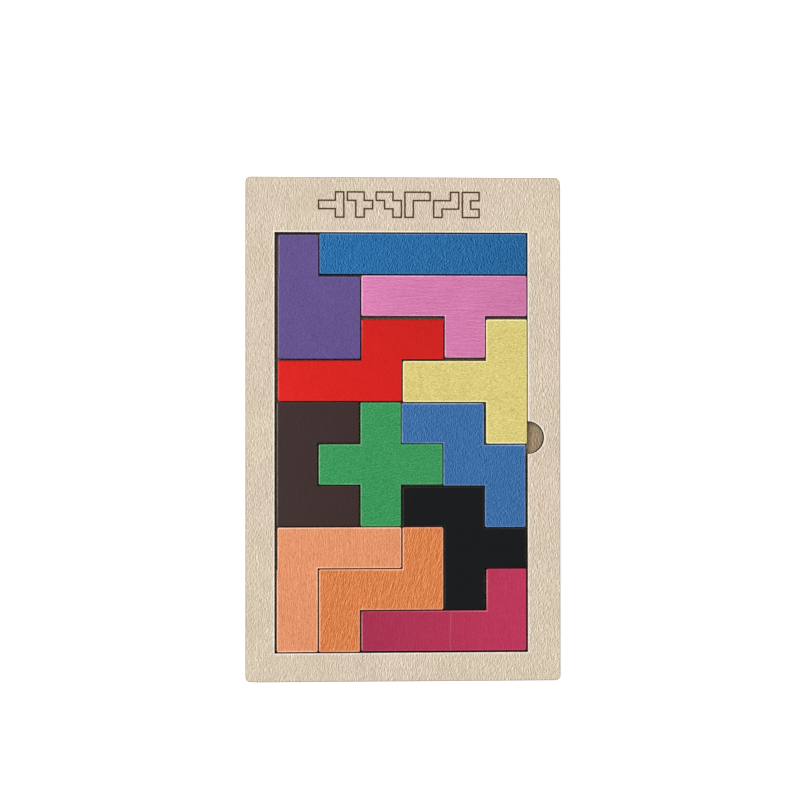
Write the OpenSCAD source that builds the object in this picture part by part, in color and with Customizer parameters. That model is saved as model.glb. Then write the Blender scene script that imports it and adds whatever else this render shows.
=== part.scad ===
// A flat wooden tray holding a packing puzzle of twelve five-cell pieces, seen lying on a table.
// The tray is two boards glued face to face: a plain base board, and a frame board with a
// rectangular well cut right through it. The pieces lie side by side in the well, on the base
// board and level with the frame. The origin is the middle of the tray's underside, +X runs
// to the rim with the finger notch and +Y to the wide rim with the engraved marks.

/* [Grid] */
// Side of one square cell of the puzzle's grid
cell = 19.85; // [15:0.05:26]
// How much narrower than its cells a piece is cut, so that neighbours clear each other
piece_gap = 0.45; // [0.3:0.05:1]
// Play of the whole set of pieces in the well, across and along
well_play = 1.45; // [0.6:0.05:3]

/* [Pieces] */
// Radius of a piece's outer corners, seen from above
piece_corner_r = 0.85; // [0.5:0.05:3]
// Rounding of a piece's upper and lower edges
piece_edge_r = 0.2; // [0.1:0.05:0.45]
// Sideways step where a cut is out of line from one cell to the next
cut_step_w = 0.3; // [0.1:0.05:0.6]

/* [Boards] */
// Thickness of the sheet that the frame board and the pieces are cut from
sheet_thick = 5; // [3:0.5:10]
// Thickness of the base board
base_thick = 3; // [2:0.5:6]
// Width of the frame's left rim
rim_left = 13.85; // [10:0.05:30]
// Width of the frame's right rim, which holds the finger notch
rim_right = 15.6; // [12:0.05:30]
// Width of the frame's rim at the marked end
rim_top = 26.4; // [20:0.05:50]
// Width of the frame's rim at the plain end
rim_bottom = 13.65; // [10:0.05:30]
// Radius of the tray's corners, seen from above
tray_corner_r = 2.4; // [1:0.1:8]
// Rounding of the tray's outer edges, at the top and underneath
tray_edge_r = 0.4; // [0.2:0.05:0.8]

/* [Finger notch] */
// Radius of the half-round finger notch
notch_r = 7.8; // [6:0.1:10]
// How far the notch's centre lies above the middle of the well
notch_up = 2.2; // [-40:0.1:40]

/* [Engraved marks] */
// Side of one cell in the engraved marks
mark_cell = 4; // [3:0.1:4.4]
// Distance from one mark to the next
mark_pitch = 13.7; // [13.6:0.1:18]
// Width of the engraved line
mark_line = 0.4; // [0.2:0.05:0.8]
// Depth of the engraved line
mark_depth = 0.25; // [0.1:0.05:1]

/* [Hidden] */
$fn = 48;
cols = 6;
rows = 10;
well_w = cols * cell + well_play;
well_l = rows * cell + well_play;
tray_w = rim_left + well_w + rim_right;
tray_l = rim_bottom + well_l + rim_top;
well_x = -tray_w / 2 + rim_left;
well_y = -tray_l / 2 + rim_bottom;
grid_x = well_x + well_play / 2;
grid_top = well_y + well_l - well_play / 2;
// A piece's slide is counted in this length, so that no piece can slide into its neighbour
slide_unit = min(well_play / 2, 1.6 * piece_gap);
// Makes a cutter pass through the face that it opens
through = 1;

// The bars of cells that make up each piece, as [first column, first row, columns, rows],
// counted from the top left of the well. A fifth value names a side that is cut_step_w further in.
LEFT = "left";
TOP = "top";
BOTTOM = "bottom";
p_bars = [[0, 0, 1, 3, LEFT], [0, 1, 2, 2]];
i_bars = [[1, 0, 5, 1]];
y_bars = [[2, 1, 4, 1], [4, 1, 1, 2]];
n_bars = [[2, 2, 2, 1, TOP], [2, 2, 1, 2, TOP], [0, 3, 3, 1]];
t_bars = [[5, 2, 1, 3], [3, 3, 3, 1]];
u_bars = [[0, 4, 2, 1], [0, 4, 1, 3], [0, 6, 2, 1]];
x_bars = [[2, 4, 1, 3], [1, 5, 3, 1]];
w_bars = [[3, 4, 2, 1, BOTTOM], [4, 4, 1, 2], [4, 5, 2, 1], [5, 5, 1, 2]];
f_bars = [[3, 6, 2, 1], [4, 6, 1, 3], [4, 7, 2, 1]];
v_bars = [[0, 7, 3, 1, LEFT], [0, 7, 1, 3, LEFT], [0, 8, 1, 2]];
z_bars = [[3, 7, 1, 2], [1, 8, 3, 1], [1, 8, 1, 2]];
l_bars = [[5, 8, 1, 2], [2, 9, 4, 1]];

// The engraved marks are small outlines of six of the pieces
marks = [t_bars, f_bars, w_bars, v_bars, z_bars, u_bars];
mark_rows = 3;

module rounded_rect(w, l, r) {
    translate([r, 0]) square([w - 2 * r, l]);
    translate([0, r]) square([w, l - 2 * r]);
    for (x = [r, w - r], y = [r, l - r]) translate([x, y]) circle(r);
}

// A flat board with one corner at the origin, its upright and its long edges rounded
module rounded_board(w, l, t, corner_r, edge_r) {
    intersection() {
        linear_extrude(t) rounded_rect(w, l, corner_r);
        translate([0, l, 0]) rotate([90, 0, 0]) linear_extrude(l) rounded_rect(w, t, edge_r);
        rotate([90, 0, 90]) linear_extrude(w) rounded_rect(l, t, edge_r);
    }
}

// A straight bar of cells, narrower than the cells by gap
module bar(b, gap) {
    left_in = gap / 2 + (b[4] == LEFT ? cut_step_w : 0);
    top_in = gap / 2 + (b[4] == TOP ? cut_step_w : 0);
    bottom_in = gap / 2 + (b[4] == BOTTOM ? cut_step_w : 0);
    bar_w = b[2] * cell - left_in - gap / 2;
    bar_l = b[3] * cell - top_in - bottom_in;
    translate([b[0] * cell + left_in, -b[1] * cell - top_in - bar_l, 0])
        rounded_board(bar_w, bar_l, sheet_thick, piece_corner_r, piece_edge_r);
}

// A piece lying in the well. loose is how loosely it was cut, as a share of piece_gap, and
// slide is how far it has slid to the right and up from its cells, in slide units.
module piece(bars, loose, slide) {
    translate([grid_x + slide[0] * slide_unit, grid_top + slide[1] * slide_unit, base_thick])
        for (b = bars) bar(b, loose * piece_gap);
}

// The flat shape of a mark, with its edges moved outward by grow
module mark_shape(bars, grow) {
    first_col = min([for (b = bars) b[0]]);
    first_row = min([for (b = bars) b[1]]);
    for (b = bars)
        translate([(b[0] - first_col) * mark_cell - grow, -(b[1] - first_row + b[3]) * mark_cell - grow])
            square([b[2] * mark_cell + 2 * grow, b[3] * mark_cell + 2 * grow]);
}

module engraved_marks() {
    first_x = -(len(marks) - 1) * mark_pitch / 2 - mark_rows * mark_cell / 2;
    top_y = tray_l / 2 - rim_top / 2 + mark_rows * mark_cell / 2;
    for (i = [0 : len(marks) - 1])
        translate([first_x + i * mark_pitch, top_y])
            difference() {
                mark_shape(marks[i], mark_line / 2);
                mark_shape(marks[i], -mark_line / 2);
            }
}

module base_board() {
    color("tan")
        translate([-tray_w / 2, -tray_l / 2, 0])
            rounded_board(tray_w, tray_l, base_thick, tray_corner_r, tray_edge_r);
}

module frame_board() {
    color("wheat")
        translate([0, 0, base_thick])
            difference() {
                translate([-tray_w / 2, -tray_l / 2, 0])
                    rounded_board(tray_w, tray_l, sheet_thick, tray_corner_r, tray_edge_r);
                translate([well_x, well_y, -through])
                    cube([well_w, well_l, sheet_thick + 2 * through]);
                translate([well_x + well_w, well_y + well_l / 2 + notch_up, -through])
                    cylinder(r = notch_r, h = sheet_thick + 2 * through);
                translate([0, 0, sheet_thick - mark_depth])
                    linear_extrude(mark_depth + through) engraved_marks();
            }
}

module purple_p_piece() { color("slateblue") piece(p_bars, 1.1, [0.7, -0.3]); }
module blue_i_piece() { color("steelblue") piece(i_bars, 1, [0.6, 0.6]); }
module pink_y_piece() { color("orchid") piece(y_bars, 1, [0.7, 0.45]); }
module red_n_piece() { color("crimson") piece(n_bars, 1.1, [0.65, -0.65]); }
module yellow_t_piece() { color("khaki") piece(t_bars, 0.4, [0.7, -1.1]); }
module brown_u_piece() { color("darkslategray") piece(u_bars, 1, [0, -0.5]); }
module green_x_piece() { color("seagreen") piece(x_bars, 1.2, [0.05, -0.75]); }
module blue_w_piece() { color("royalblue") piece(w_bars, 0.6, [-0.2, -1.35]); }
module black_f_piece() { color("black") piece(f_bars, 1.5, [0.15, -1.05]); }
module peach_v_piece() { color("lightsalmon") piece(v_bars, 0.8, [0.15, -0.55]); }
module orange_z_piece() { color("sandybrown") piece(z_bars, 0.8, [0.35, -0.6]); }
module crimson_l_piece() { color("mediumvioletred") piece(l_bars, 1.5, [0.45, -0.4]); }

base_board();
frame_board();
purple_p_piece();
blue_i_piece();
pink_y_piece();
red_n_piece();
yellow_t_piece();
brown_u_piece();
green_x_piece();
blue_w_piece();
black_f_piece();
peach_v_piece();
orange_z_piece();
crimson_l_piece();
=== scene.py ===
"""A wooden packing puzzle: twelve stained five-cell pieces lying in a plain plywood tray.

Lengths are in millimetres in the classes below, and become metres where a mesh is made.
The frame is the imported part: its boxes say where each board and piece lies.
"""

import logging
import math
from collections.abc import Mapping, Sequence
from dataclasses import dataclass, field, replace
from enum import Enum
from typing import Any

import bpy
from mathutils import Euler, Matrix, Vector


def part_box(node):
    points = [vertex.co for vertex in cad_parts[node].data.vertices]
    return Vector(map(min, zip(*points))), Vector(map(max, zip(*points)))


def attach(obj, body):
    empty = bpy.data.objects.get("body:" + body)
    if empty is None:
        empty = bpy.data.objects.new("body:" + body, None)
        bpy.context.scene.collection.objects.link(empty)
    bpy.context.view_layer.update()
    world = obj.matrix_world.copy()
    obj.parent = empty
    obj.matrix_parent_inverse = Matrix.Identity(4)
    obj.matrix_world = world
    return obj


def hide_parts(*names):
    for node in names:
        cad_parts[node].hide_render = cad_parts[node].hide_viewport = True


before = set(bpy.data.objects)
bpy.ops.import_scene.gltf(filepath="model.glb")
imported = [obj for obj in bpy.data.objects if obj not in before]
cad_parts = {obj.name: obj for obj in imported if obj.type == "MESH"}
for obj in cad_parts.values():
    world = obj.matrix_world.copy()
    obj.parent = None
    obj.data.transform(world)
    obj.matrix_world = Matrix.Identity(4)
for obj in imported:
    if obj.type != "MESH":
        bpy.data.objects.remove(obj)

log = logging.getLogger("puzzle")

Socket = bpy.types.NodeSocket
NodeTree = bpy.types.NodeTree
Material = bpy.types.Material
Cell = tuple[int, int]
Colour = tuple[float, float, float]

MM = 0.001
IMAGE_PIXELS = 800
WHITE = (1.0, 1.0, 1.0, 1.0)
SCREEN_GAMMA = 2.2
# How much red, green and blue each add to how light a colour looks
GREY_WEIGHTS = (0.3, 0.59, 0.11)
# The thickness of one layer of the plywood
PLY_LAYER = 1.0
# The height of the wood's relief, in metres, where its strength is 1
RELIEF_HEIGHT = 0.0001
# How much of the light a face mirrors, as the shader's specular level
SHEEN = 0.08

# The puzzle's grid from its top left corner: each letter is the piece that holds the cell
LAYOUT = (
    "PIIIII",
    "PPYYYY",
    "PPNNYT",
    "NNNTTT",
    "UUXWWT",
    "UXXXWW",
    "UUXFFW",
    "VVVZFF",
    "VZZZFL",
    "VZLLLL",
)


def stain_colour(red: float, green: float, blue: float) -> Colour:
    """Turns a colour as seen on a screen into the linear one that a shader takes.

    Args:
        red: Red from 0 to 255.
        green: Green from 0 to 255.
        blue: Blue from 0 to 255.

    Returns:
        The three linear values, from 0 to 1.
    """

    def linear(value: float) -> float:
        """Undoes the screen's tone curve for one value from 0 to 255."""
        share = value / 255
        return share / 12.92 if share <= 0.04045 else ((share + 0.055) / 1.055) ** 2.4

    return linear(red), linear(green), linear(blue)


def toned(colour: Colour, factor: float) -> Colour:
    """Returns the colour made lighter or darker by a factor."""
    return tuple(min(1.0, value * factor) for value in colour)


def deepened(colour: Colour, factor: float, purity: float = 1.6) -> Colour:
    """Returns a colour made purer, and lighter or darker by a factor."""
    top = max(colour)
    return tuple(factor * top * (value / top) ** purity for value in colour)


def blended(first: Colour, second: Colour, share: float) -> Colour:
    """Returns the first colour with a share of the second mixed in."""
    return tuple(a + (b - a) * share for a, b in zip(first, second, strict=True))


def seen_grey(colour: Colour) -> float:
    """Returns how light a linear colour looks, from 0 to 1."""
    seen = (value ** (1 / SCREEN_GAMMA) for value in colour)
    return sum(weight * value for weight, value in zip(GREY_WEIGHTS, seen, strict=True))


def corners(node: str) -> tuple[Vector, Vector]:
    """Returns a CAD node's lowest and highest corners, in millimetres."""
    low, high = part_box(node)
    return low / MM, high / MM


def placed(name: str, data: bpy.types.ID) -> bpy.types.Object:
    """Puts a new object into the scene.

    Args:
        name: Its name.
        data: Its mesh, camera or lamp.

    Returns:
        The object.
    """
    made = bpy.data.objects.new(name, data)
    bpy.context.scene.collection.objects.link(made)
    return made


def emptied(owner: Material | bpy.types.World) -> NodeTree:
    """Switches on the nodes of a material or world, and clears them.

    Args:
        owner: The material or world.

    Returns:
        Its empty node tree.
    """
    owner.use_nodes = True
    owner.node_tree.nodes.clear()
    return owner.node_tree


def finished(piece: bpy.types.Object, node: str) -> None:
    """Seats a piece on the frame in place of its plain solid, and reports it.

    Args:
        piece: The finished piece.
        node: The node that it stands for.
    """
    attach(piece, "root")
    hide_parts(node)
    log.info("%s: %d faces", piece.name, len(piece.data.polygons))


class Side(Enum):
    """A side of a grid cell, as the step out of the cell through it."""

    RIGHT = (1, 0)
    TOP = (0, 1)
    LEFT = (-1, 0)
    BOTTOM = (0, -1)


# The same steps as vectors
RIGHT, UP, LEFT, DOWN = (Vector(side.value) for side in Side)


@dataclass
class Outline:
    """A closed line round a board's face, with the wood on its left.

    Attributes:
        arris: The rounding of the board's edges along this line.
        burn: How dark the cut along this line is charred, from 0 to 1.
        edge_rubbing_and_painted_light: How light each side's edge is painted, partly as rubbed paint and
            partly as a painted highlight, or below 0 how dark it is painted as painted shade.
        scored: Whether the line is engraved in the top face and not cut right through.
        spots: The points of the line.
        ways: For each point, the step that moves it 1 mm into the wood.
    """

    arris: float
    burn: float = 1.0
    edge_rubbing_and_painted_light: Mapping[Side, float] = field(default_factory=dict)
    scored: bool = False
    spots: list[Vector] = field(default_factory=list)
    ways: list[Vector] = field(default_factory=list)

    def add(self, spot: Vector, way: Vector) -> None:
        """Adds one point and its way into the wood."""
        self.spots.append(spot)
        self.ways.append(way)

    def corner(self, at: Vector, before: Vector, after: Vector, radius: float = 0.0) -> None:
        """Adds a square corner.

        Args:
            at: Where the two edges would meet.
            before: The unit step into the wood from the edge that ends here.
            after: The same from the edge that starts here.
            radius: The corner's rounding, or 0 for a sharp one.
        """
        if radius <= 0:
            self.add(at, before + after)
            return
        steps = 8
        centre = at + (before + after) * radius
        for k in range(steps + 1):
            turn = k / steps * math.pi / 2
            way = before * math.cos(turn) + after * math.sin(turn)
            self.add(centre - way * radius, way)

    def jog(self, at: Vector, along: Vector, into: Vector, insets: Sequence[float], radius: float) -> None:
        """Adds the small rounded step where a straight cut is out of line.

        Args:
            at: The grid point next to the step.
            along: The unit step along the line.
            into: The unit step into the wood.
            insets: How far the line lies in from the grid before and after the step.
            radius: The rounding of the part that stands out further.
        """
        depth = abs(insets[0] - insets[1])
        nearest = radius - math.sqrt(radius**2 - (radius - depth) ** 2)
        steps = 4
        reaches = [nearest + (radius - nearest) * k / steps for k in range(steps + 1)]
        forward = insets[1] < insets[0]
        for reach in reaches if forward else reversed(reaches):
            inset = min(insets) + radius - math.sqrt(radius**2 - (radius - reach) ** 2)
            shift = min(insets) + reach
            self.add(at + along * (shift if forward else -shift) + into * inset, into.copy())

    def moved(self, x: float, y: float) -> "Outline":
        """Returns the same line moved by x and y."""
        spots = [spot + Vector((x, y)) for spot in self.spots]
        return replace(self, spots=spots, ways=[way.copy() for way in self.ways])

    def turned_out(self) -> "Outline":
        """Returns the same line with the wood on its other side."""
        spots = [spot.copy() for spot in reversed(self.spots)]
        return replace(self, spots=spots, ways=[-way for way in reversed(self.ways)])

    def rubbing_and_painted_light(self) -> list[float]:
        """Works out how light or dark the edge is painted along the line, as rubbed paint, painted highlight
        and painted shade.

        Returns:
            Each point's value, taken from the sides that it faces.
        """
        result = []
        for way in self.ways:
            shares = {side: max(0.0, -way.dot(Vector(side.value))) for side in Side}
            total = sum(share * self.edge_rubbing_and_painted_light.get(side, 0.0) for side, share in shares.items())
            result.append(total / sum(shares.values()))
        return result


def rounded_rectangle(low: Vector, high: Vector, radius: float, line: Outline) -> Outline:
    """Draws a board's rounded outer line.

    Args:
        low: The lowest x and y.
        high: The highest x and y.
        radius: The rounding of the corners, seen from above.
        line: The line without points, which says how its edges are finished.

    Returns:
        The same line with its points, anticlockwise.
    """
    line.corner(Vector((low.x, low.y)), RIGHT, UP, radius)
    line.corner(Vector((high.x, low.y)), UP, LEFT, radius)
    line.corner(Vector((high.x, high.y)), LEFT, DOWN, radius)
    line.corner(Vector((low.x, high.y)), DOWN, RIGHT, radius)
    return line


@dataclass(frozen=True)
class Polyomino:
    """A shape of whole grid cells.

    Attributes:
        cells: The cells as (column, row), counted from the top left.
        shaved: For some cells, the side whose cut is stepped further in.
    """

    cells: frozenset[Cell]
    shaved: Mapping[Cell, Side] = field(default_factory=dict)

    @classmethod
    def of_letter(cls, letter: str, shaved: Mapping[Cell, Side] | None = None) -> "Polyomino":
        """Reads the cells of one letter from the layout.

        Args:
            letter: The piece's letter.
            shaved: For some of its cells, the side whose cut is stepped further in.

        Returns:
            The piece's shape.
        """
        rows = enumerate(LAYOUT)
        cells = ((column, row) for row, line in rows for column, found in enumerate(line) if found == letter)
        return cls(frozenset(cells), shaved or {})

    @property
    def first(self) -> Cell:
        """The lowest column and row."""
        return min(c for c, _ in self.cells), min(r for _, r in self.cells)

    @property
    def last(self) -> Cell:
        """The highest column and row."""
        return max(c for c, _ in self.cells), max(r for _, r in self.cells)

    def outline(self, cell: float, inset: float, step: float, radius: float, line: Outline) -> Outline:
        """Traces the shape.

        Args:
            cell: The side of a grid cell.
            inset: How far every side lies in from the grid.
            step: How much further in a shaved side lies.
            radius: The rounding of the outer corners.
            line: The line without points, which says how its edges are finished.

        Returns:
            The same line with its points, anticlockwise, with y 0 at the top of row 0.
        """
        edges: dict[tuple[float, float], tuple[Vector, Vector, Vector, float]] = {}
        for column, row in self.cells:
            for side in Side:
                out = Vector(side.value)
                if (column + side.value[0], row - side.value[1]) in self.cells:
                    continue
                along = Vector((-out.y, out.x))
                middle = Vector((column + 0.5, -row - 0.5)) + out / 2
                start = middle - along / 2
                depth = inset + (step if self.shaved.get((column, row)) is side else 0.0)
                edges[tuple(start)] = (middle + along / 2, along, -out, depth)
        start = min(edges)
        spot = start
        while True:
            end, along, into, depth = edges[spot]
            spot = tuple(end)
            _, next_along, next_into, next_depth = edges[spot]
            if into != next_into:
                at = end * cell + into * depth + next_into * next_depth
                line.corner(at, into, next_into, radius if next_along == into else 0.0)
            elif depth != next_depth:
                line.jog(end * cell, along, into, (depth, next_depth), radius)
            if spot == start:
                return line


class Graph:
    """Writes nodes into a node tree, and links whatever is given as a socket.

    Attributes:
        spacing: How far apart the nodes lie in the node editor.
    """

    spacing: float = 180

    def __init__(self, tree: NodeTree) -> None:
        """Starts writing into a tree."""
        self.tree = tree

    def end(self, kind: str) -> bpy.types.Node:
        """Returns the tree's input or output node, which is made when it is first asked for."""
        found = [node for node in self.tree.nodes if node.bl_idname == kind]
        return found[0] if found else self.tree.nodes.new(kind)

    def inlet(self, name: str, kind: str, value: Any = None) -> Socket:
        """Adds a named input to the tree.

        Args:
            name: The input's name.
            kind: Its socket type without the common first part, such as Float.
            value: Its default, where it has one.

        Returns:
            The socket that gives the input's value inside the tree.
        """
        made = self.tree.interface.new_socket(name=name, in_out="INPUT", socket_type=f"NodeSocket{kind}")
        if value is not None:
            made.default_value = value
        return self.end("NodeGroupInput").outputs[name]

    def inlets(self, defaults: Mapping[str, float]) -> list[Socket]:
        """Adds a number input for each name and default, and returns their sockets."""
        return [self.inlet(name, "Float", value) for name, value in defaults.items()]

    def outlet(self, name: str, kind: str, source: Socket) -> None:
        """Adds a named output to the tree, fed by a socket."""
        self.tree.interface.new_socket(name=name, in_out="OUTPUT", socket_type=f"NodeSocket{kind}")
        self.tree.links.new(source, self.end("NodeGroupOutput").inputs[name])

    def add(self, kind: str, feeds: Mapping[int | str, Any] | None = None, **settings: Any) -> bpy.types.Node:
        """Adds a node.

        Args:
            kind: The node's type.
            feeds: For an input's name or number, the value or socket that it gets.
            **settings: The node's own settings, such as its operation.

        Returns:
            The node.
        """
        node = self.tree.nodes.new(kind)
        node.location = (len(self.tree.nodes) * self.spacing, 0)
        for name, value in settings.items():
            setattr(node, name, value)
        for key, value in (feeds or {}).items():
            if isinstance(value, Socket):
                self.tree.links.new(value, node.inputs[key])
            else:
                node.inputs[key].default_value = value
        return node

    def get(self, kind: str, feeds: Mapping[int | str, Any] | None = None, **settings: Any) -> Socket:
        """Adds a node as add does, and returns its first output."""
        return self.add(kind, feeds, **settings).outputs[0]

    def math(self, operation: str, first: Any, second: Any = 0.0) -> Socket:
        """Returns the result of a sum on one or two numbers."""
        return self.get("ShaderNodeMath", {0: first, 1: second}, operation=operation)

    def times(self, first: Any, *factors: Any) -> Socket:
        """Returns the product of two or more numbers.

        Args:
            first: The first number.
            *factors: The others.

        Returns:
            The product.
        """
        for factor in factors:
            first = self.math("MULTIPLY", first, factor)
        return first

    def vector(self, operation: str, first: Any, second: Any) -> Socket:
        """Returns the result of a sum on two vectors, or on a vector and a scale."""
        key = "Scale" if operation == "SCALE" else 1
        return self.get("ShaderNodeVectorMath", {0: first, key: second}, operation=operation)

    def remap(self, value: Any, low: Any, high: Any, to_low: Any = 0.0, to_high: Any = 1.0) -> Socket:
        """Returns a value moved from one range to another and held inside it."""
        feeds = {0: value, 1: low, 2: high, 3: to_low, 4: to_high}
        return self.get("ShaderNodeMapRange", feeds, clamp=True)

    def between(self, share: Any, low: Any, high: Any) -> Socket:
        """Returns the number that lies between two others by a share."""
        return self.remap(share, 0.0, 1.0, low, high)

    def mix(self, share: Any, first: Any, second: Any) -> Socket:
        """Returns two colours mixed by a share."""
        feeds = {0: share, 6: self.opaque(first), 7: self.opaque(second)}
        return self.add("ShaderNodeMix", feeds, data_type="RGBA").outputs[2]

    def ramp(self, value: Any, stops: Mapping[float, Colour]) -> Socket:
        """Picks a colour between two stops.

        Args:
            value: What picks it.
            stops: For two places, the colour there.

        Returns:
            The colour.
        """
        node = self.add("ShaderNodeValToRGB", {0: value})
        for element, (place, colour) in zip(node.color_ramp.elements, stops.items(), strict=True):
            element.position = place
            element.color = self.opaque(colour)
        return node.outputs[0]

    def stepped(self, colour: Any, grey: float, tone: Any) -> Socket:
        """Makes a colour lighter or darker by one visible step in red, green and blue alike.

        Args:
            colour: The colour, linear.
            grey: How light the colour looks, from 0 to 1.
            tone: How many times lighter its grey becomes.

        Returns:
            The changed colour.
        """
        seen = self.get("ShaderNodeGamma", {"Color": self.opaque(colour), "Gamma": 1 / SCREEN_GAMMA})
        root = self.math("POWER", tone, 1 / SCREEN_GAMMA)
        step = self.times(self.math("SUBTRACT", root, 1.0), grey)
        moved = self.vector("MAXIMUM", self.vector("ADD", seen, step), (0.0, 0.0, 0.0))
        return self.get("ShaderNodeGamma", {"Color": moved, "Gamma": SCREEN_GAMMA})

    def noise(self, vector: Any, scale: Any, seed: Any, detail: float = 2.0) -> Socket:
        """Returns soft noise about 0.5, with its own pattern for each seed."""
        feeds = {"Vector": vector, "W": seed, "Scale": scale, "Detail": detail, "Roughness": 0.55}
        return self.get("ShaderNodeTexNoise", feeds, noise_dimensions="4D")

    @staticmethod
    def opaque(colour: Any) -> Any:
        """Returns a plain colour with its alpha, and a socket as it is."""
        return (*colour, 1.0) if isinstance(colour, tuple) else colour


class SheetGraph(Graph):
    """The Geometry Nodes tree that cuts a board from its outlines.

    It lifts each outline through the board as a wall, rounds the arrises, lays a ring along
    the face's edge that holds rubbed paint and painted highlight and shade, sinks the engraved lines, and
    fills the faces.

    Attributes:
        merging: How close two points lie, in metres, to become one.
        crease: The bend above which an edge looks sharp.
        groove_draft: How much narrower a groove gets on each side, as a share of its depth.
        edge_wall: The share of the wall at a face's edge.
        shoulder_wall: The share of the wall halfway round an arris.
    """

    merging: float = 2e-6
    crease: float = math.radians(50)
    groove_draft: float = 0.3
    edge_wall: float = 0.1
    shoulder_wall: float = 0.6

    def __init__(self) -> None:
        """Starts an empty tree."""
        super().__init__(bpy.data.node_groups.new("Cut sheet", "GeometryNodeTree"))

    def carried(self, name: str, kind: str = "FLOAT") -> Socket:
        """Returns a value that the outlines carry."""
        return self.get("GeometryNodeInputNamedAttribute", {"Name": name}, data_type=kind)

    def upward(self, height: Any) -> Socket:
        """Returns the step up to a height."""
        return self.get("ShaderNodeCombineXYZ", {"Z": height})

    def flipped(self, mesh: Socket) -> Socket:
        """Returns a mesh with its faces turned round."""
        return self.get("GeometryNodeFlipFaces", {0: mesh})

    def joined(self, parts: Sequence[Socket]) -> Socket:
        """Joins meshes.

        Args:
            parts: The meshes.

        Returns:
            One mesh.
        """
        node = self.add("GeometryNodeJoinGeometry")
        for part in parts:
            self.tree.links.new(part, node.inputs[0])
        return node.outputs[0]

    def stored(self, mesh: Socket, inset: Any, wall: float, where: Any = True) -> Socket:
        """Stores what the finish reads on a mesh's points.

        Args:
            mesh: The mesh.
            inset: How far its points lie in from the face's edge, in millimetres.
            wall: Their share of the wall, from 0 on the face to 1 on the cut.
            where: Which points are meant.

        Returns:
            The same mesh with the values.
        """
        for name, value in (("inset", inset), ("wall", wall)):
            feeds = {"Geometry": mesh, "Selection": where, "Name": name, "Value": value}
            mesh = self.get("GeometryNodeStoreNamedAttribute", feeds, data_type="FLOAT", domain="POINT")
        return mesh

    def chain(self, loops: Socket, rings: Sequence[tuple[Any, Any, float]]) -> tuple[Socket, Socket, Socket]:
        """Extrudes outlines through a row of rings.

        Args:
            loops: The outlines as edges.
            rings: For each ring how far it lies into the wood, its height, and its share of the wall.

        Returns:
            The walls, the first ring's edges and the last ring's edges.
        """
        spot, way = self.carried("spot", "FLOAT_VECTOR"), self.carried("way", "FLOAT_VECTOR")
        arris = self.carried("arris")
        shape = loops
        top: Any = True
        first = None
        for number, (inset, height, wall) in enumerate(rings):
            if number:
                feeds = {"Mesh": shape, "Selection": top, "Offset Scale": 0.0}
                pulled = self.add("GeometryNodeExtrudeMesh", feeds, mode="EDGES")
                shape, top = pulled.outputs["Mesh"], pulled.outputs["Top"]
            reach = self.vector("ADD", spot, self.vector("SCALE", way, inset))
            place = self.vector("ADD", reach, self.upward(height))
            feeds = {"Geometry": shape, "Selection": top, "Position": place}
            shape = self.get("GeometryNodeSetPosition", feeds)
            rise = self.math("DIVIDE", self.math("SUBTRACT", inset, arris), MM)
            shape = self.stored(shape, rise, wall, top)
            first = first or shape
        last = self.get("GeometryNodeSeparateGeometry", {"Geometry": shape, "Selection": top}, domain="EDGE")
        return self.flipped(shape), first, last

    def face(self, loops: Sequence[Socket], height: Any, inset: Any, wall: float) -> Socket:
        """Fills a flat face between loops.

        Args:
            loops: The face's outer and inner edges.
            height: The face's height.
            inset: How far in from the face's edge it counts, in millimetres.
            wall: Its share of the wall.

        Returns:
            The face.
        """
        line = self.get("GeometryNodeMeshToCurve", {0: self.joined(loops)})
        filled = self.get("GeometryNodeFillCurve", {0: line}, mode="NGONS")
        lifted = self.get("GeometryNodeSetPosition", {"Geometry": filled, "Offset": self.upward(height)})
        return self.stored(lifted, inset, wall)

    def build(self) -> NodeTree:
        """Writes the tree.

        Returns:
            The tree, with named inputs for the sheet's heights and edges and for its finish.
        """
        loops = self.inlet("Geometry", "Geometry")
        low, high = self.inlets({"Bottom": 0.0, "Top": 0.005})
        edges = {"Worn Band": 0.0005, "Score Depth": 0.00025, "Score Halo": 0.0004}
        band, score_depth, halo = self.inlets(edges)
        finish = self.inlet("Finish", "Material")
        arris = self.carried("arris")
        feeds = {"Geometry": loops, "Selection": self.carried("scored", "BOOLEAN")}
        scores, cuts = self.add("GeometryNodeSeparateGeometry", feeds, domain="POINT").outputs

        within = self.math("ADD", arris, band)
        shoulder = self.times(arris, 1 - math.sqrt(0.5))
        rings = [
            (within, low, 0.0),
            (arris, low, self.edge_wall),
            (shoulder, self.math("ADD", low, shoulder), self.shoulder_wall),
            (0.0, self.math("ADD", low, arris), 1.0),
            (0.0, self.math("SUBTRACT", high, arris), 1.0),
            (shoulder, self.math("SUBTRACT", high, shoulder), self.shoulder_wall),
            (arris, high, self.edge_wall),
            (within, high, 0.0),
        ]
        walls, under_edge, top_edge = self.chain(cuts, rings)
        sunk = self.math("SUBTRACT", high, score_depth)
        slope = self.times(score_depth, -self.groove_draft)
        rings = [(slope, sunk, 1.0), (0.0, high, 1.0), (halo, high, 0.0)]
        grooves, floor_edge, groove_edge = self.chain(scores, rings)
        inset = self.math("DIVIDE", band, MM)
        under = self.flipped(self.face([under_edge], low, inset, 0.0))
        top = self.face([top_edge, groove_edge], high, inset, 0.0)
        groove_floor = self.face([floor_edge], sunk, inset, 1.0)

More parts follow.
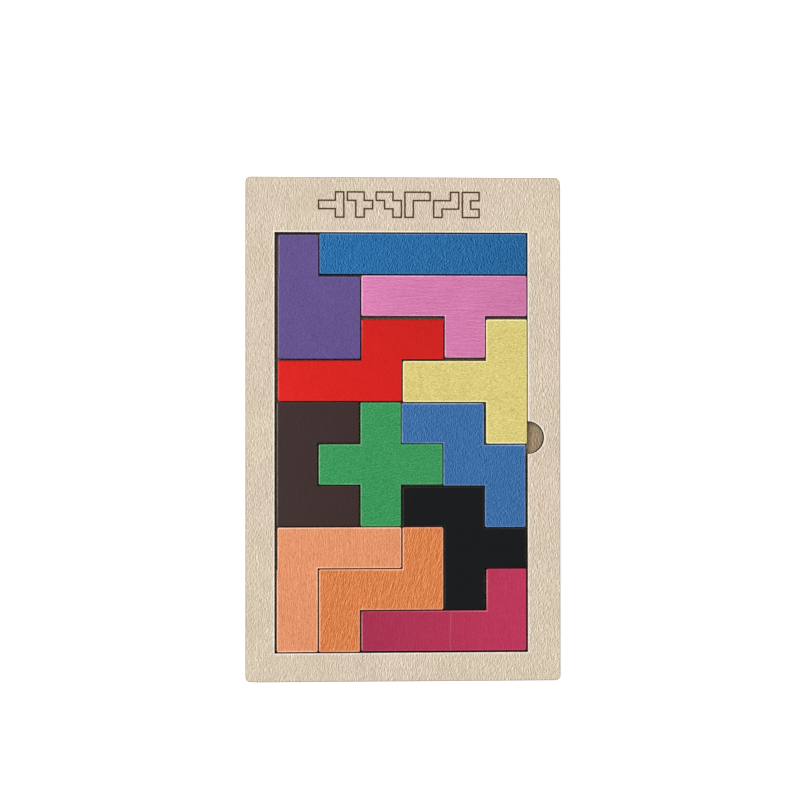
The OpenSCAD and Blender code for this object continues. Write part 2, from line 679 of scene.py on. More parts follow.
        whole = self.joined([walls, grooves, under, top, groove_floor])
        whole = self.get("GeometryNodeMergeByDistance", {"Geometry": whole, "Distance": self.merging})
        for name in ("spot", "way", "arris", "scored"):
            whole = self.get("GeometryNodeRemoveAttribute", {"Geometry": whole, "Name": name})
        sharp = self.math("GREATER_THAN", self.get("GeometryNodeInputMeshEdgeAngle"), self.crease)
        feeds = {"Geometry": whole, "Selection": sharp, "Shade Smooth": False}
        whole = self.get("GeometryNodeSetShadeSmooth", feeds, domain="EDGE")
        whole = self.get("GeometryNodeRealizeInstances", {0: whole})
        whole = self.get("GeometryNodeSetMaterial", {"Geometry": whole, "Material": finish})
        self.outlet("Geometry", "Geometry", whole)
        return self.tree


@dataclass(frozen=True)
class Sheet:
    """A flat board between two heights, cut along its outlines by the sheet tree.

    Attributes:
        name: The piece's name.
        bottom: The height of its underside.
        top: The height of its face.
        band: The width of the ring along its edges that holds rubbed paint and painted highlight and shade.
        score_depth: The depth of its engraved lines.
    """

    name: str
    bottom: float
    top: float
    band: float
    score_depth: float = 0.0

    def loops(self, outlines: Sequence[Outline]) -> bpy.types.Mesh:
        """Makes the outlines into edges that carry what the tree reads.

        Args:
            outlines: The lines of the sheet.

        Returns:
            A mesh of closed edge loops in metres.
        """
        spots = [(spot.x * MM, spot.y * MM, 0.0) for line in outlines for spot in line.spots]
        ways = [(way.x, way.y, 0.0) for line in outlines for way in line.ways]
        edges: list[tuple[int, int]] = []
        base = 0
        for line in outlines:
            count = len(line.spots)
            edges += [(base + k, base + (k + 1) % count) for k in range(count)]
            base += count
        mesh = bpy.data.meshes.new(self.name)
        mesh.from_pydata(spots, edges, [])
        for name, values in (("spot", spots), ("way", ways)):
            layer = mesh.attributes.new(name, "FLOAT_VECTOR", "POINT")
            layer.data.foreach_set("vector", [number for value in values for number in value])
        layers = {
            "burn": [line.burn for line in outlines for _ in line.spots],
            "arris": [line.arris * MM for line in outlines for _ in line.spots],
            "edge_rubbing_and_painted_light": [rubbing_and_painted_light for line in outlines for rubbing_and_painted_light in line.rubbing_and_painted_light()],
        }
        for name, values in layers.items():
            mesh.attributes.new(name, "FLOAT", "POINT").data.foreach_set("value", values)
        scored = [line.scored for line in outlines for _ in line.spots]
        mesh.attributes.new("scored", "BOOLEAN", "POINT").data.foreach_set("value", scored)
        return mesh

    def build(self, tree: NodeTree, outlines: Sequence[Outline], finish: Material) -> bpy.types.Object:
        """Cuts the sheet and leaves it as a plain mesh.

        Args:
            tree: The sheet tree.
            outlines: The lines that it is cut and scored along.
            finish: Its material.

        Returns:
            The piece.
        """
        piece = placed(self.name, self.loops(outlines))
        cutter = piece.modifiers.new("Cut", "NODES")
        cutter.node_group = tree
        values = {
            "Bottom": self.bottom * MM,
            "Top": self.top * MM,
            "Worn Band": self.band * MM,
            "Score Depth": self.score_depth * MM,
            "Finish": finish,
        }
        for socket in tree.interface.items_tree:
            if socket.item_type == "SOCKET" and socket.in_out == "INPUT" and socket.name in values:
                cutter[socket.identifier] = values[socket.name]
        depsgraph = bpy.context.evaluated_depsgraph_get()
        cut = piece.evaluated_get(depsgraph)
        plain = bpy.data.meshes.new_from_object(cut, preserve_all_data_layers=True, depsgraph=depsgraph)
        piece.modifiers.clear()
        piece.data = plain
        plain.name = self.name
        return piece


class Groups:
    """The shader node groups that the finishes share, each built once."""

    def __init__(self) -> None:
        """Builds every group."""
        self.fibre = self.build_fibre()
        self.mottle = self.build_mottle()
        self.edge_line = self.build_edge_line()
        self.ply_edge = self.build_ply_edge()

    @staticmethod
    def start(name: str, numbers: Mapping[str, float]) -> tuple[Graph, list[Socket]]:
        """Starts a shader node group that takes a vector, some numbers and a seed.

        Args:
            name: The group's name.
            numbers: For each of the numbers, its default.

        Returns:
            The group's writer, and the sockets of its inputs.
        """
        graph = Graph(bpy.data.node_groups.new(name, "ShaderNodeTree"))
        return graph, [graph.inlet("Vector", "Vector"), *graph.inlets({**numbers, "Seed": 0.0})]

    def build_fibre(self) -> NodeTree:
        """Builds the wood fibre group: wandering streaks with painted light and shade on their flanks, dark
        pores, fine dust and the relief.

        Returns:
            The group.
        """
        numbers = {"Angle": 0.0, "Length": 3.0, "Width": 0.5, "Wander": 0.4}
        graph, (vector, angle, length, width, wander, seed) = self.start("Wood fibre", numbers)
        spot = graph.vector("SCALE", vector, 1 / MM)
        feeds = {"Vector": spot, "W": seed, "Scale": 0.22, "Detail": 1.0}
        drift = graph.add("ShaderNodeTexNoise", feeds, noise_dimensions="4D").outputs[1]
        push = graph.vector("SCALE", graph.vector("SUBTRACT", drift, (0.5, 0.5, 0.5)), wander)
        feeds = {"Vector": graph.vector("ADD", spot, push), "Angle": graph.times(angle, -1.0)}
        turned = graph.get("ShaderNodeVectorRotate", feeds, rotation_type="Z_AXIS")
        size = graph.get("ShaderNodeCombineXYZ", {"X": length, "Y": width, "Z": length})
        along = graph.vector("DIVIDE", turned, size)
        # The streak is sampled twice a little apart, so it is painted lighter on one flank and darker on the
        # other: in the colour this is painted shading of a low ridge in slanting light, over the grain's own
        # tone, and it also drives the bump
        beside = graph.vector("ADD", along, (0.0, 1.1, 0.0))
        here, there = graph.noise(along, 1.0, seed, 1.0), graph.noise(beside, 1.0, seed, 1.0)
        fibre = graph.remap(graph.math("SUBTRACT", here, there), -0.26, 0.26)
        pores = graph.remap(graph.noise(along, 0.8, graph.math("ADD", seed, 7.3), 1.0), 0.6, 0.68)
        relief = graph.math("SUBTRACT", fibre, graph.times(pores, 0.7))
        dust = graph.remap(graph.noise(spot, 2.2, graph.math("ADD", seed, 3.9), 1.0), 0.3, 0.7)
        for name, source in {"Fibre And Ridge Shade": fibre, "Dust": dust, "Pores": pores, "Relief": relief}.items():
            graph.outlet(name, "Float", source)
        return graph.tree

    def build_mottle(self) -> NodeTree:
        """Builds the mottle group: soft patches of a given size.

        Returns:
            The group.
        """
        graph, (vector, size, seed) = self.start("Mottle", {"Size": 10.0})
        patches = graph.noise(vector, graph.math("DIVIDE", 1 / MM, size), seed, 3.0)
        graph.outlet("Patches", "Float", graph.remap(patches, 0.3, 0.7))
        return graph.tree

    def build_edge_line(self) -> NodeTree:
        """Builds the edge line group: where a face's edge is painted light, as rubbed paint and painted
        highlight, or painted dark, as painted shade.

        Returns:
            The group.
        """
        numbers = {"Inset": 1.0, "Worn": 0.0, "Reach": 0.6}
        graph, (vector, inset, edge_rubbing_and_painted_light, reach, seed) = self.start("Edge line", numbers)
        near = graph.remap(inset, -0.1, 0.0)
        far = graph.remap(inset, graph.times(reach, 0.6), reach, 1.0, 0.0)
        uneven = graph.remap(graph.noise(vector, 0.6 / MM, seed), 0.35, 0.6, 0.55, 1.0)
        broad = graph.noise(vector, 0.05 / MM, graph.math("ADD", seed, 0.7), 1.0)
        stretch = graph.remap(broad, 0.38, 0.6, 0.6, 1.0)
        line = graph.times(graph.times(near, far), graph.times(uneven, stretch), edge_rubbing_and_painted_light)
        # Light is rubbed paint with a painted highlight along the edge, and Dark is painted shade along it
        graph.outlet("Light", "Float", graph.remap(line, 0.0, 1.0))
        graph.outlet("Dark", "Float", graph.remap(line, 0.0, -1.0))
        return graph.tree

    def build_ply_edge(self) -> NodeTree:
        """Builds the ply edge group: the layers, glue lines and char that a cut through ply shows.

        Returns:
            The group.
        """
        numbers = {"Bottom": 0.0, "Layer": 1.0, "Scorch": 1.0}
        graph, (vector, bottom, layer, scorch, seed) = self.start("Ply edge", numbers)
        spot = graph.vector("SCALE", vector, 1 / MM)
        height = graph.add("ShaderNodeSeparateXYZ", {0: spot}).outputs["Z"]
        ripple = graph.times(graph.noise(spot, 0.12, seed), 0.25)
        rise = graph.math("SUBTRACT", graph.math("ADD", height, ripple), bottom)
        level = graph.math("DIVIDE", rise, layer)
        odd = graph.math("PINGPONG", graph.math("FLOOR", level), 1.0)
        middle = graph.math("ABSOLUTE", graph.math("SUBTRACT", graph.math("FRACT", level), 0.5))
        glue = graph.remap(middle, 0.43, 0.49)
        streak = graph.noise(graph.vector("MULTIPLY", spot, (1.0, 1.0, 0.22)), 2.2, seed, 3.0)
        grain = graph.noise(spot, 3.0, graph.math("ADD", seed, 3.1), 3.0)
        wood = graph.ramp(grain, {0.3: stain_colour(196, 172, 136), 0.7: stain_colour(226, 207, 176)})
        end_wood = graph.ramp(grain, {0.3: stain_colour(158, 128, 90), 0.7: stain_colour(196, 168, 128)})
        plies = graph.mix(odd, wood, end_wood)
        plies = graph.mix(graph.times(glue, 0.6), plies, stain_colour(120, 84, 52))
        char = graph.ramp(streak, {0.25: stain_colour(9, 6, 5), 0.75: stain_colour(40, 27, 18)})
        share = graph.times(scorch, graph.remap(streak, 0.3, 0.7, 1.0, 0.96))
        graph.outlet("Color", "Color", graph.mix(share, plies, char))
        return graph.tree


class Surface(Graph):
    """Writes the nodes of one wooden material."""

    def __init__(self, name: str, seed: float) -> None:
        """Starts an empty material.

        Args:
            name: Its name.
            seed: Its pattern's own number.
        """
        self.material = bpy.data.materials.new(name)
        super().__init__(emptied(self.material))
        self.seed = seed
        self.spot = self.add("ShaderNodeTexCoord").outputs["Object"]

    def read(self, name: str) -> Socket:
        """Returns a value that the mesh carries."""
        return self.add("ShaderNodeAttribute", attribute_name=name).outputs["Fac"]

    def lay(self, group: NodeTree, shift: float, **feeds: Any) -> bpy.types.bpy_prop_collection:
        """Places a shader node group.

        Args:
            group: The group.
            shift: What is added to the seed, so that no two patterns are alike.
            **feeds: The group's own values.

        Returns:
            The group's outputs.
        """
        feeds = {"Vector": self.spot, "Seed": self.seed + shift, **feeds}
        return self.add("ShaderNodeGroup", feeds, node_tree=group).outputs

    def close(self, face: Socket, relief: Socket, strength: float, rough: tuple[float, float]) -> Material:
        """Finishes the material.

        Args:
            face: Its colour.
            relief: The relief of the wood.
            strength: How strongly the relief shows.
            rough: The roughness in the relief's hollows and on its ridges.

        Returns:
            The material.
        """
        bump = self.get("ShaderNodeBump", {"Strength": strength, "Distance": RELIEF_HEIGHT, "Height": relief})
        feeds = {"Base Color": face, "Normal": bump, "Specular IOR Level": SHEEN}
        skin = self.get("ShaderNodeBsdfPrincipled", {**feeds, "Roughness": self.between(relief, *rough)})
        self.add("ShaderNodeOutputMaterial", {"Surface": skin})
        return self.material


@dataclass(frozen=True)
class Grain:
    """How a face's wood fibre looks.

    Attributes:
        angle: The way that the fibre runs, in degrees from +X.
        length: The length of a streak.
        width: The width of a streak.
        wander: How far a streak strays.
        contrast: How much lighter and darker the streaks are, as a share of the colour, partly the grain's
            own tone and partly painted shading of their ridges.
        pores: How dark the pores are, from 0 to 1.
        relief: How deep the surface is, as the strength of its bump.
        threads: How strong the long threads among the streaks are, as a share of the colour.
        dust: How strong the fine specks are, as a share of the colour.
    """

    angle: float
    length: float
    width: float
    wander: float
    contrast: float
    pores: float
    relief: float
    threads: float
    dust: float


class GrainStyle(Enum):
    """The kinds of face that the stained pieces show."""

    SMOOTH = Grain(90, 1.4, 0.5, 0.8, 0.05, 0.1, 0.1, 0.02, 0.1)
    MOTTLED = Grain(80, 0.6, 0.5, 1.2, 0.2, 0.2, 0.2, 0.03, 0.18)
    RIDGED = Grain(90, 0.85, 0.36, 1.6, 1.0, 0.3, 1.3, 0.1, 0.22)
    BRUSHED = Grain(0, 2.0, 0.42, 0.8, 0.14, 0.1, 0.2, 0.12, 0.13)
    FLECKED = Grain(15, 1.0, 0.36, 0.8, 0.2, 0.4, 0.4, 0.03, 0.24)
    SPECKLED = Grain(25, 0.9, 0.46, 0.8, 0.32, 0.3, 0.5, 0.04, 0.25)
    SLANTED = Grain(82, 1.3, 0.38, 1.6, 0.68, 0.3, 1.0, 0.05, 0.18)
    DASHED = Grain(75, 2.4, 0.32, 1.0, 0.57, 0.4, 0.8, 0.2, 0.2)
    LINED = Grain(90, 2.0, 0.38, 0.8, 0.25, 0.35, 0.22, 0.12, 0.18)
    SATIN = Grain(88, 1.6, 0.42, 1.0, 0.12, 0.1, 0.12, 0.1, 0.15)


@dataclass(frozen=True)
class StainedFinish:
    """A piece's printed stain over its wood face, soaked dark into the charred ply of its cut sides.

    Attributes:
        name: The material's name.
        colour: The stain, as a linear colour.
        style: How the wood fibre shows through it.
        edge_rubbing_and_painted_light: How light the edge is painted at the left, bottom, right and top, as
            rubbed paint and as a painted highlight, or below 0 how dark, as painted shade.
        seed: The pattern's own number.
        lean: How much darker the right is than the left, and the top than the bottom.
        hairline: Where along X a light hairline crosses the face, if one does.
        soak: How light the stain leaves the cut walls, as a share of its own colour.
    """

    name: str
    colour: Colour
    style: GrainStyle
    edge_rubbing_and_painted_light: tuple[float, float, float, float]
    seed: float
    lean: tuple[float, float] = (0.0, 0.0)
    hairline: float | None = None
    soak: float = 0.2

    def build(self, groups: Groups, low: Vector, high: Vector) -> Material:
        """Builds the material.

        Args:
            groups: The shared shader groups.
            low: The piece's lowest corner.
            high: The piece's highest corner.

        Returns:
            The material.
        """
        grain, colour = self.style.value, self.colour
        pore, painted_edge_shade = toned(colour, 0.45), toned(colour, 0.35)
        pale_rubbing_and_highlight = blended(toned(colour, 1.5), stain_colour(255, 251, 243), 0.32)
        skin = Surface(self.name, self.seed)
        across, along, _ = skin.add("ShaderNodeSeparateXYZ", {0: skin.spot}).outputs
        run = {"Angle": math.radians(grain.angle), "Wander": grain.wander}
        fibre = skin.lay(groups.fibre, 0.0, Length=grain.length, Width=grain.width, **run)
        threads = skin.lay(groups.fibre, 0.9, Length=grain.length * 5, Width=grain.width * 1.3, **run)
        broad = skin.lay(groups.mottle, 1.7, Size=22.0)["Patches"]
        fine = skin.lay(groups.mottle, 2.9, Size=3.2)["Patches"]
        line = skin.lay(groups.edge_line, 4.1, Inset=skin.read("inset"), Worn=skin.read("edge_rubbing_and_painted_light"), Reach=0.6)
        ply = skin.lay(groups.ply_edge, 5.3, Bottom=low.z, Layer=PLY_LAYER, Scorch=1.0)["Color"]

        # The fibre's swing in tone is partly the grain's own colour and partly painted shading of its ridges,
        # lit on one flank and shaded on the other
        swings = (
            (fibre["Fibre And Ridge Shade"], grain.contrast),
            (broad, 0.04),
            (fine, 0.03),
            (threads["Fibre And Ridge Shade"], grain.threads),
            (fibre["Dust"], grain.dust),
        )
        tone = skin.times(*(skin.between(source, 1 - swing, 1 + swing) for source, swing in swings))
        face = skin.stepped(colour, seen_grey(colour), tone)
        slopes = (
            skin.remap(place, start * MM, end * MM, 1 + lean / 2, 1 - lean / 2)
            for place, start, end, lean in zip((across, along), low, high, self.lean)
        )
        face = skin.get("ShaderNodeHueSaturation", {"Value": skin.times(*slopes), "Color": face})
        face = skin.mix(skin.times(fibre["Pores"], grain.pores), face, pore)
        # The edge is painted pale as rubbed paint and painted highlight, and painted dark as painted shade
        face = skin.mix(line["Light"], face, pale_rubbing_and_highlight)
        face = skin.mix(line["Dark"], face, painted_edge_shade)
        if self.hairline is not None:
            stray = skin.remap(skin.noise(skin.spot, 0.1 / MM, self.seed), 0.3, 0.7, -0.4 * MM, 0.4 * MM)
            beside = skin.math("SUBTRACT", skin.math("ADD", across, stray), self.hairline * MM)
            hair = skin.remap(skin.math("ABSOLUTE", beside), 0.05 * MM, 0.25 * MM, 0.22, 0.0)
            face = skin.mix(hair, face, pale_rubbing_and_highlight)
        cut = skin.mix(0.85, ply, deepened(colour, self.soak))
        face = skin.mix(skin.remap(skin.read("wall"), 0.12, 0.5), face, cut)
        return skin.close(face, fibre["Relief"], grain.relief, (0.72, 0.56))


@dataclass(frozen=True)
class BareFinish:
    """Bare sanded plywood, with the marks burnt into it.

    Attributes:
        name: The material's name.
        colour: The wood, as a linear colour.
        warm: The pinker tint that patches of it have.
        bottom: The height of the board's underside.
        seed: The pattern's own number.
        ends: Two places along Y between which the fibre turns.
        turn: The way that the fibre runs there, in degrees from +X.
        sides: Two places along X between which the fibre gets stronger.
        darkest: The darkest tone of the fibre there.
        lightest: Its lightest tone there.
    """

    name: str
    colour: Colour
    warm: Colour
    bottom: float
    seed: float
    ends: tuple[float, float] = (-120, 60)
    turn: tuple[float, float] = (83, 92)
    sides: tuple[float, float] = (-70, 70)
    darkest: tuple[float, float] = (0.55, 0.45)
    lightest: tuple[float, float] = (1.37, 1.48)

    def build(self, groups: Groups) -> Material:
        """Builds the material.

        Args:
            groups: The shared shader groups.

        Returns:
            The material.
        """
        pore, painted_edge_shade = toned(self.colour, 0.55), toned(self.colour, 0.5)
        pale_rubbing_and_highlight = stain_colour(255, 246, 233)
        seared = {0.2: stain_colour(58, 33, 8), 0.8: stain_colour(102, 66, 26)}
        skin = Surface(self.name, self.seed)
        across, along, _ = skin.add("ShaderNodeSeparateXYZ", {0: skin.spot}).outputs
        inset, wall = skin.read("inset"), skin.read("wall")
        ends, sides = ([place * MM for place in places] for places in (self.ends, self.sides))
        angle = skin.remap(along, *ends, *(math.radians(degrees) for degrees in self.turn))
        darkest, lightest = (skin.remap(across, *sides, *tones) for tones in (self.darkest, self.lightest))
        crinkle = skin.lay(groups.fibre, 0.0, Angle=angle, Length=2.0, Width=0.35, Wander=2.2)
        threads = skin.lay(groups.fibre, 2.2, Angle=math.radians(90), Length=14.0, Width=0.5, Wander=1.2)
        broad = skin.lay(groups.mottle, 1.1, Size=60.0)["Patches"]
        patches = skin.lay(groups.mottle, 3.3, Size=14.0)["Patches"]
        line = skin.lay(groups.edge_line, 4.4, Inset=inset, Worn=skin.read("edge_rubbing_and_painted_light"), Reach=0.8)
        scorch = skin.read("burn")
        ply = skin.lay(groups.ply_edge, 5.5, Bottom=self.bottom, Layer=PLY_LAYER, Scorch=scorch)["Color"]

        # The crinkle's swing in tone is partly the grain's own colour and partly painted shading of its
        # ridges, lit on one flank and shaded on the other
        tone = skin.times(
            skin.between(crinkle["Fibre And Ridge Shade"], darkest, lightest),
            skin.between(threads["Fibre And Ridge Shade"], 0.94, 1.05),
            skin.between(patches, 0.95, 1.04),
            skin.between(crinkle["Dust"], 0.84, 1.14),
        )
        face = skin.stepped(skin.mix(broad, self.colour, self.warm), seen_grey(self.colour), tone)
        face = skin.mix(skin.times(crinkle["Pores"], 0.35), face, pore)
        # The edge is painted pale as a painted highlight with some rubbed paint, and painted dark as painted
        # shade
        face = skin.mix(line["Light"], face, pale_rubbing_and_highlight)
        face = skin.mix(line["Dark"], face, painted_edge_shade)
        # Level is 1 on the face and in an engraved line, and 0 on the wall of a cut
        level = skin.remap(inset, -0.06, 0.0)
        cut = skin.times(skin.remap(wall, 0.1, 0.5), skin.math("SUBTRACT", 1.0, level))
        face = skin.mix(cut, face, ply)
        groove = skin.times(skin.remap(wall, 0.15, 0.85), level)
        face = skin.mix(groove, face, skin.ramp(crinkle["Fibre And Ridge Shade"], seared))
        return skin.close(face, crinkle["Relief"], 0.75, (0.82, 0.66))


@dataclass(frozen=True)
class PieceSet:
    """The twelve loose pieces, cut from one sheet.

    Attributes:
        cell: The side of a grid cell.
        corner: The rounding of a piece's outer corners.
        arris: The rounding of its upper and lower edges.
        band: The width of the line along its face that holds rubbed paint and painted highlight and shade.
        step: The sideways step of a cut that is out of line.
    """

    cell: float = 19.85
    corner: float = 0.85
    arris: float = 0.2
    band: float = 0.6
    step: float = 0.3

    @property
    def finishes(self) -> dict[str, tuple[str, StainedFinish]]:
        """The stains of the twelve pieces.

        Returns:
            For each letter, the piece's node and its finish.
        """

        def stained(name: str, seen: Colour, *rest: Any, **extra: Any) -> StainedFinish:
            """Makes a finish from a colour as seen on a screen."""
            return StainedFinish(f"{name} stain", stain_colour(*seen), *rest, **extra)

        grain = GrainStyle
        # The four edge values paint the edges lighter, partly as rubbed paint and partly as a painted
        # highlight where they face the lamp at the upper left, and darker below 0, as painted shade
        purple = stained("Purple", (100, 82, 142), grain.MOTTLED, (0.8, 0.0, 0.12, 0.18), 11)
        sky = stained("Sky blue", (38, 111, 170), grain.RIDGED, (0.5, 0.15, 0.08, 0.45), 23, (0.2, 0.0))
        pink = stained("Pink", (214, 125, 175), grain.BRUSHED, (1.5, 0.45, 0.3, 1.1), 37, (0.14, 0.0))
        # Red's dark top edge and its face's darkening towards the top are painted shadow from the pink piece
        # above it
        red = stained("Red", (215, 32, 28), grain.SMOOTH, (0.45, 0.05, 0.06, -0.4), 41, (0.14, 0.08))
        yellow = stained("Yellow", (222, 206, 125), grain.FLECKED, (2.4, 2.2, 0.6, 2.0), 53)
        brown = stained("Dark brown", (61, 46, 45), grain.SMOOTH, (0.64, 0.0, 0.0, 0.05), 67, (0.22, 0.0))
        green = stained("Green", (58, 153, 91), grain.SPECKLED, (0.95, 0.3, 0.22, 0.36), 71, (0.06, 0.0))
        blue = stained("Blue", (60, 112, 170), grain.SLANTED, (0.95, 0.36, 0.5, 1.2), 83)
        black = stained("Black", (16, 17, 19), grain.SMOOTH, (0.15, 0.0, 0.05, 0.1), 97)
        peach = stained(
            "Peach", (231, 150, 107), grain.LINED, (1.5, 1.8, 1.2, 2.0), 103, (0.0, -0.03), soak=0.55
        )
        orange = stained("Orange", (224, 133, 76), grain.DASHED, (2.4, 0.8, 0.8, 0.8), 109, soak=0.55)
        crimson = stained(
            "Crimson", (181, 51, 86), grain.SATIN, (1.0, 0.18, 0.05, 0.1), 127, (-0.3, 0.0), hairline=22.4
        )
        return {
            "P": ("purple_p_piece", purple),
            "I": ("blue_i_piece", sky),
            "Y": ("pink_y_piece", pink),
            "N": ("red_n_piece", red),
            "T": ("yellow_t_piece", yellow),
            "U": ("brown_u_piece", brown),
            "X": ("green_x_piece", green),
            "W": ("blue_w_piece", blue),
            "F": ("black_f_piece", black),
            "V": ("peach_v_piece", peach),
            "Z": ("orange_z_piece", orange),
            "L": ("crimson_l_piece", crimson),
        }

    @property
    def shaved(self) -> dict[str, dict[Cell, Side]]:
        """For some letters, the cell sides whose cut is stepped in."""
        return {
            "P": {(0, 0): Side.LEFT},
            "N": {(2, 2): Side.TOP, (3, 2): Side.TOP},
            "W": {(3, 4): Side.BOTTOM},
            "V": {(0, 7): Side.LEFT},
        }

    def build(self, tree: NodeTree, groups: Groups) -> None:
        """Cuts, places and dresses the twelve pieces.

        Args:
            tree: The sheet tree.
            groups: The shared shader groups.
        """
        for letter, (node, finish) in self.finishes.items():
            shape = Polyomino.of_letter(letter, self.shaved.get(letter))
            low, high = corners(node)
            columns = shape.last[0] - shape.first[0] + 1
            gap = columns * self.cell - (high.x - low.x)
            origin_x = low.x - gap / 2 - shape.first[0] * self.cell
            origin_y = low.y - gap / 2 + (shape.last[1] + 1) * self.cell
            edge_rubbing_and_painted_light = dict(zip((Side.LEFT, Side.BOTTOM, Side.RIGHT, Side.TOP), finish.edge_rubbing_and_painted_light, strict=True))
            line = shape.outline(self.cell, gap / 2, self.step, self.corner, Outline(self.arris, edge_rubbing_and_painted_light=edge_rubbing_and_painted_light))
            line = line.moved(origin_x, origin_y)
            material = finish.build(groups, low, high)
            sheet = Sheet(node.replace("_piece", ""), low.z, high.z, self.band)
            finished(sheet.build(tree, [line], material), node)


@dataclass(frozen=True)
class Tray:
    """The two glued boards that hold the pieces.

    Attributes:
        rim_left: The width of the left rim.
        rim_right: The width of the rim with the finger notch.
        rim_top: The width of the marked rim.
        rim_bottom: The width of the plain end's rim.
        corner: The rounding of the tray's corners.
        arris: The rounding of its outer edges.
        cut_arris: The rounding of the well's edges.
        band: The width of the ring along its face's edges that holds rubbed paint and painted highlight and
            shade.
        notch: The radius of the finger notch.
        notch_up: How far the notch lies above the middle of the well.
        mark_cell: The side of one cell in the marks.
        mark_pitch: The distance from one mark to the next.
        mark_line: The width of the engraved line.
        mark_depth: The depth of the engraved line.
        mark_corner: The rounding of the line's outer corners.
        mark_letters: The pieces that the marks show, from the left.
    """

    rim_left: float = 13.85
    rim_right: float = 15.6
    rim_top: float = 26.4
    rim_bottom: float = 13.65
    corner: float = 2.4
    arris: float = 0.4
    cut_arris: float = 0.08
    band: float = 0.9
    notch: float = 7.8
    notch_up: float = 2.2
    mark_cell: float = 4.0
    mark_pitch: float = 13.7
    mark_line: float = 0.4
    mark_depth: float = 0.25
    mark_corner: float = 0.15
    mark_letters: str = "TFWVZU"

    def rim(self, low: Vector, high: Vector) -> Outline:
        """Draws a board's outer line, which is rounded by hand and has little char left.

        Args:
            low: The board's lowest corner.
            high: The board's highest corner.

        Returns:
            The line, anticlockwise.
        """
        # The outer arris is painted darker at the left and top, as painted shade, and lighter at the right,
        # as a painted highlight
        edge_rubbing_and_painted_light = {Side.LEFT: -0.2, Side.TOP: -0.12, Side.RIGHT: 0.2}
        return rounded_rectangle(low, high, self.corner, Outline(self.arris, burn=0.3, edge_rubbing_and_painted_light=edge_rubbing_and_painted_light))

    def well(self, low: Vector, high: Vector) -> Outline:
        """Draws the well's wall, with the half-round notch.

        Args:
            low: The frame board's lowest corner.
            high: The frame board's highest corner.

        Returns:
            The line, clockwise, because the wood lies outside it.
        """
        x0, x1 = low.x + self.rim_left, high.x - self.rim_right
        y0, y1 = low.y + self.rim_bottom, high.y - self.rim_top
        centre = Vector((x1, (y0 + y1) / 2 + self.notch_up))
        # The well's edge is painted light, most at the left and right, as a painted highlight along the cut's
        # arris
        edge_rubbing_and_painted_light = {Side.RIGHT: 2.6, Side.LEFT: 2.6, Side.BOTTOM: 0.8, Side.TOP: 0.2}
        line = Outline(self.cut_arris, edge_rubbing_and_painted_light=edge_rubbing_and_painted_light)
        line.corner(Vector((x0, y0)), DOWN, LEFT)
        line.corner(Vector((x0, y1)), LEFT, UP)
        line.corner(Vector((x1, y1)), UP, RIGHT)
        steps, ring = 64, self.cut_arris + self.band
        for k in range(steps + 1):
            turn = math.pi / 2 - k / steps * math.pi
            way = Vector((math.cos(turn), math.sin(turn)))
            from_corner = min(k, steps - k) / steps * math.pi * self.notch
            line.add(centre + way * self.notch, way + RIGHT * max(0.0, 1 - from_corner / ring))
        line.corner(Vector((x1, y0)), RIGHT, DOWN)
        return line

    def marks(self, high: Vector) -> list[Outline]:
        """Draws the engraved outlines of six pieces along the wide rim.

        Args:
            high: The frame board's highest corner.

        Returns:
            The two edges of each engraved line.
        """
        tallest = 3 * self.mark_cell
        first_x = -(len(self.mark_letters) - 1) * self.mark_pitch / 2 - tallest / 2
        top = high.y - self.rim_top / 2 + tallest / 2
        half = self.mark_line / 2
        lines = []
        for number, letter in enumerate(self.mark_letters):
            shape = Polyomino.of_letter(letter)
            x = first_x + number * self.mark_pitch - shape.first[0] * self.mark_cell
            y = top + shape.first[1] * self.mark_cell
            inner = shape.outline(self.mark_cell, half, 0.0, 0.0, Outline(0.0, scored=True))
            outer = shape.outline(self.mark_cell, -half, 0.0, self.mark_corner, Outline(0.0, scored=True))
            lines += [inner.moved(x, y), outer.moved(x, y).turned_out()]
        return lines

    def build(self, tree: NodeTree, groups: Groups) -> None:
        """Cuts and dresses the frame board and the base board.

        Args:
            tree: The sheet tree.
            groups: The shared shader groups.
        """
        low, high = corners("frame_board")
        wood, warm = stain_colour(225, 211, 187), stain_colour(226, 208, 189)
        bare = BareFinish("Frame plywood", wood, warm, low.z, 3)
        sheet = Sheet("frame", low.z, high.z, self.band, self.mark_depth)
        lines = [self.rim(low, high), self.well(low, high), *self.marks(high)]
        finished(sheet.build(tree, lines, bare.build(groups)), "frame_board")

        low, high = corners("base_board")
        wood, warm = stain_colour(190, 166, 136), stain_colour(182, 158, 126)
        bare = BareFinish("Base plywood", wood, warm, low.z, 5)
        sheet = Sheet("base", low.z, high.z, self.band)
        finished(sheet.build(tree, [self.rim(low, high)], bare.build(groups)), "base_board")


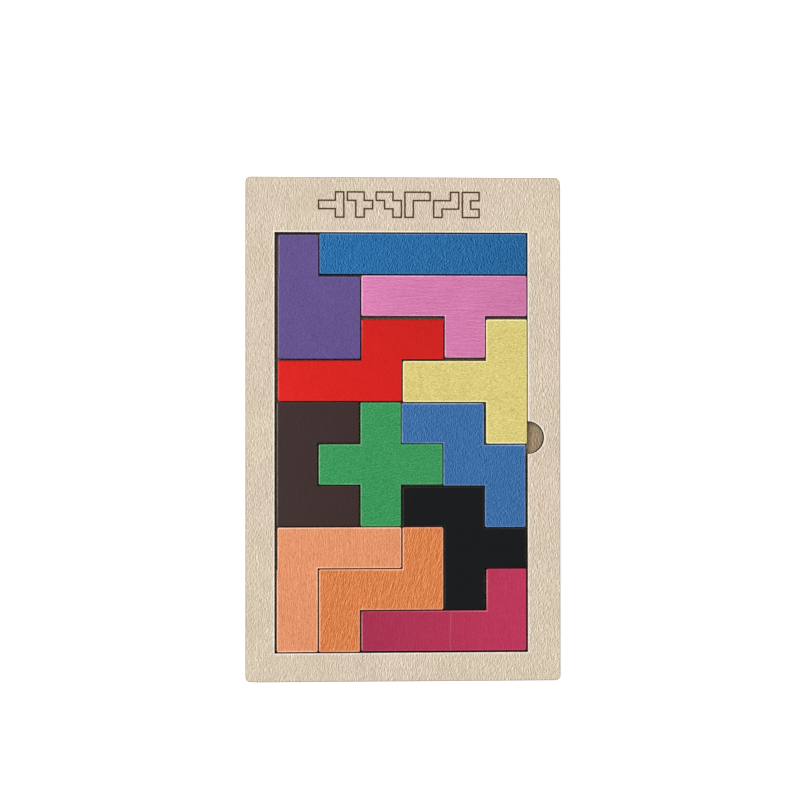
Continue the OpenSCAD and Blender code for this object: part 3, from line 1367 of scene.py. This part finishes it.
@dataclass(frozen=True)
class Studio:
    """The camera, the pale floor and the soft lights.

    Attributes:
        camera_at: The camera's place, in millimetres.
        camera_turn: Its turn about x, y and z, in radians.
        focal_pixels: Its focal length in pixels of the 800-pixel image.
        sky: The share of light that comes evenly from all round.
        key_at: The key lamp's place, in metres.
        key_side: The side of its square, in metres.
        key_power: Its power, in watts.
        floor_reach: How far the floor reaches from the middle, in metres.
        floor_drop: How far it lies under the tray, in metres.
        floor_grey: How light it is.
        floor_glow: What it adds to look white where the light on it is full.
    """

    camera_at: tuple[float, float, float] = (-19.51, 10.745, 607.52)
    camera_turn: tuple[float, float, float] = (0.005116, -0.029917, -0.000667)
    focal_pixels: float = 1260.5
    sky: float = 0.5
    key_at: tuple[float, float, float] = (-1.55, 1.2, 3.92)
    key_side: float = 1.8
    key_power: float = 108.0
    floor_reach: float = 3.0
    floor_drop: float = 0.0001
    floor_grey: float = 0.8
    floor_glow: float = 0.64

    def build_camera(self) -> None:
        """Sets the camera straight above the tray, as far off as the picture's perspective says."""
        data = bpy.data.cameras.new("Camera")
        data.sensor_width = 36.0
        data.lens = self.focal_pixels / IMAGE_PIXELS * data.sensor_width
        data.clip_start, data.clip_end = 0.01, 20.0
        camera = placed("Camera", data)
        camera.location = Vector(self.camera_at) * MM
        camera.rotation_euler = Euler(self.camera_turn, "XYZ")
        bpy.context.scene.camera = camera

    def seen(self, graph: Graph) -> Socket:
        """Tells the camera's view from the light on the object.

        Args:
            graph: The writer of the floor's material or of the world.

        Returns:
            1 for what the camera sees straight, mirrored or through glass, and else 0.
        """
        path = graph.add("ShaderNodeLightPath").outputs
        both = graph.math("MAXIMUM", path["Is Camera Ray"], path["Is Glossy Ray"])
        return graph.math("MAXIMUM", both, path["Is Transmission Ray"])

    def build_world(self) -> None:
        """Lights the scene evenly from all round, and shows white behind it."""
        world = bpy.data.worlds.new("Studio")
        graph = Graph(emptied(world))
        lit = graph.get("ShaderNodeBackground", {"Color": WHITE, "Strength": self.sky})
        shown = graph.get("ShaderNodeBackground", {"Color": WHITE, "Strength": 1.0})
        both = graph.get("ShaderNodeMixShader", {0: self.seen(graph), 1: lit, 2: shown})
        graph.add("ShaderNodeOutputWorld", {"Surface": both})
        bpy.context.scene.world = world

    def build_floor(self) -> None:
        """Lays the pale floor, which shows the tray's soft shadow."""
        reach = self.floor_reach
        turns = ((-reach, -reach), (reach, -reach), (reach, reach), (-reach, reach))
        mesh = bpy.data.meshes.new("Floor")
        mesh.from_pydata([(x, y, -self.floor_drop) for x, y in turns], [], [(0, 1, 2, 3)])
        floor = placed("Floor", mesh)
        material = bpy.data.materials.new("White floor")
        graph = Graph(emptied(material))
        grey = (self.floor_grey, self.floor_grey, self.floor_grey, 1.0)
        matte = graph.get("ShaderNodeBsdfDiffuse", {"Color": grey})
        shown = graph.times(self.seen(graph), self.floor_glow)
        glow = graph.get("ShaderNodeEmission", {"Color": WHITE, "Strength": shown})
        both = graph.get("ShaderNodeAddShader", {0: matte, 1: glow})
        graph.add("ShaderNodeOutputMaterial", {"Surface": both})
        mesh.materials.append(material)

    def build_key(self) -> None:
        """Hangs the wide soft lamp above the marked end and a little to the left."""
        data = bpy.data.lights.new("Key", "AREA")
        data.shape = "SQUARE"
        data.size = self.key_side
        data.energy = self.key_power
        lamp = placed("Key", data)
        lamp.location = self.key_at
        lamp.rotation_euler = (-lamp.location).to_track_quat("-Z", "Y").to_euler()

    def build(self) -> None:
        """Builds the whole studio."""
        bpy.context.scene.view_settings.view_transform = "Standard"
        self.build_camera()
        self.build_world()
        self.build_floor()
        self.build_key()


def main() -> None:
    """Builds the puzzle and its studio."""
    logging.basicConfig(level=logging.INFO, format="%(name)s %(message)s")
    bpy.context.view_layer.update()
    Studio().build()
    tree = SheetGraph().build()
    groups = Groups()
    Tray().build(tree, groups)
    PieceSet().build(tree, groups)


if __name__ == "__main__":
    main()
